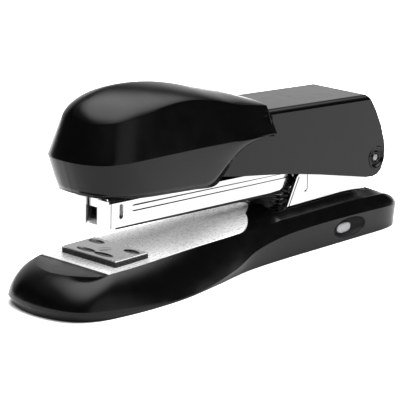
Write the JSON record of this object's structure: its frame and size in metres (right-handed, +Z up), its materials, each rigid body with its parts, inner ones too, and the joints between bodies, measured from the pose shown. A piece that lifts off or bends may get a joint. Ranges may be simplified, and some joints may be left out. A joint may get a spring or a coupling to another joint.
{
  "type": "stapler",
  "caption": "Desktop stapler: black bulbous palm grip over a folded steel handle, plated staple magazine and turning anvil on a pear-shaped base.",
  "frame": {"origin": "middle of the footprint, on the surface the stapler stands on", "axes": "+Z up, -X towards the mouth where staples come out, +X towards the hinge, +Y to the far side (left hand side seen from the mouth is -Y)"},
  "size_m": [0.161, 0.0438, 0.0662],
  "materials": {
    "base_shell": "satin black moulded plastic",
    "rubber_sole": "matt black ribbed rubber",
    "base_plate": "bright nickel plate over pressed sheet",
    "base_screws": "zinc plated",
    "anvil_stud": "bright rivet head",
    "anvil_spring_washer": "spring steel",
    "hinge_bracket": "bright nickel plate over pressed sheet",
    "pivot_pin": "turned steel, ends peened",
    "pivot_spacers": "turned steel",
    "magazine_washers": "pressed steel",
    "return_spring": "spring wire",
    "button_spring": "spring wire",
    "handle_spring": "spring wire",
    "anvil": "bright plated top, ribbed dark sides",
    "magazine_channel": "bright nickel plate over pressed sheet",
    "staple_rail": "plain rolled steel",
    "guide_rod": "drawn wire",
    "magazine_heel": "black moulded plastic",
    "magazine_rivets": "semi-tubular rivets",
    "pusher_spring": "spring wire",
    "pusher": "pressed steel",
    "handle_channel": "satin black powder coat",
    "grip_cap": "satin black moulded plastic",
    "driver_blade": "hardened ground strip",
    "driver_clamp": "pressed steel",
    "hinge_eyelets": "satin black powder coat",
    "cap_screws": "zinc plated",
    "release_button": "satin dark grey plastic",
    "release_catch": "pressed steel"
  },
  "bodies": {
    "base": {"base_shell": "base_shell", "rubber_sole": "rubber_sole", "base_plate": "base_plate", "base_screws": "base_screws", "anvil_stud": "anvil_stud", "anvil_spring_washer": "anvil_spring_washer", "hinge_bracket": "hinge_bracket", "pivot_pin": "pivot_pin", "pivot_spacers": "pivot_spacers", "magazine_washers": "magazine_washers", "return_spring": "return_spring", "button_spring": "button_spring", "handle_spring": "handle_spring"},
    "anvil_turn": {"anvil": "anvil"},
    "magazine": {"magazine_channel": "magazine_channel", "staple_rail": "staple_rail", "guide_rod": "guide_rod", "magazine_heel": "magazine_heel", "magazine_rivets": "magazine_rivets", "pusher_spring": "pusher_spring"},
    "pusher": {"pusher": "pusher"},
    "handle": {"handle_channel": "handle_channel", "grip_cap": "grip_cap", "driver_blade": "driver_blade", "driver_clamp": "driver_clamp", "hinge_eyelets": "hinge_eyelets", "cap_screws": "cap_screws"},
    "button": {"release_button": "release_button", "release_catch": "release_catch"}
  },
  "joints": [
    {"name": "anvil_pivot", "type": "hinge", "parent": "base", "child": "anvil_turn", "pos_m": [-0.0492, 0, 0.0125], "axis": [0, 0, 1], "range_deg": [0, 180]},
    {"name": "magazine_hinge", "type": "hinge", "parent": "base", "child": "magazine", "pos_m": [0.065, 0, 0.0255], "axis": [0, 1, 0], "range_deg": [-3.65, 0], "stiffness_Nm_per_rad": 2.5, "springref_deg": 6.88, "deforming": ["return_spring"]},
    {"name": "handle_hinge", "type": "hinge", "parent": "magazine", "child": "handle", "pos_m": [0.065, 0, 0.0255], "axis": [0, 1, 0], "range_deg": [-2.2, 95], "stiffness_Nm_per_rad": 1, "springref_deg": 2.86, "deforming": ["handle_spring"]},
    {"name": "pusher_slide", "type": "slide", "parent": "magazine", "child": "pusher", "axis": [0.9992, 0, -0.0393], "range_m": [0, 0.048], "stiffness_N_per_m": 40, "springref_m": -0.02, "deforming": ["pusher_spring"]},
    {"name": "button_press", "type": "slide", "parent": "base", "child": "button", "axis": [0, 1, 0], "range_m": [0, 0.0016], "stiffness_N_per_m": 400, "springref_m": -0.001, "deforming": ["button_spring"]}
  ]
}
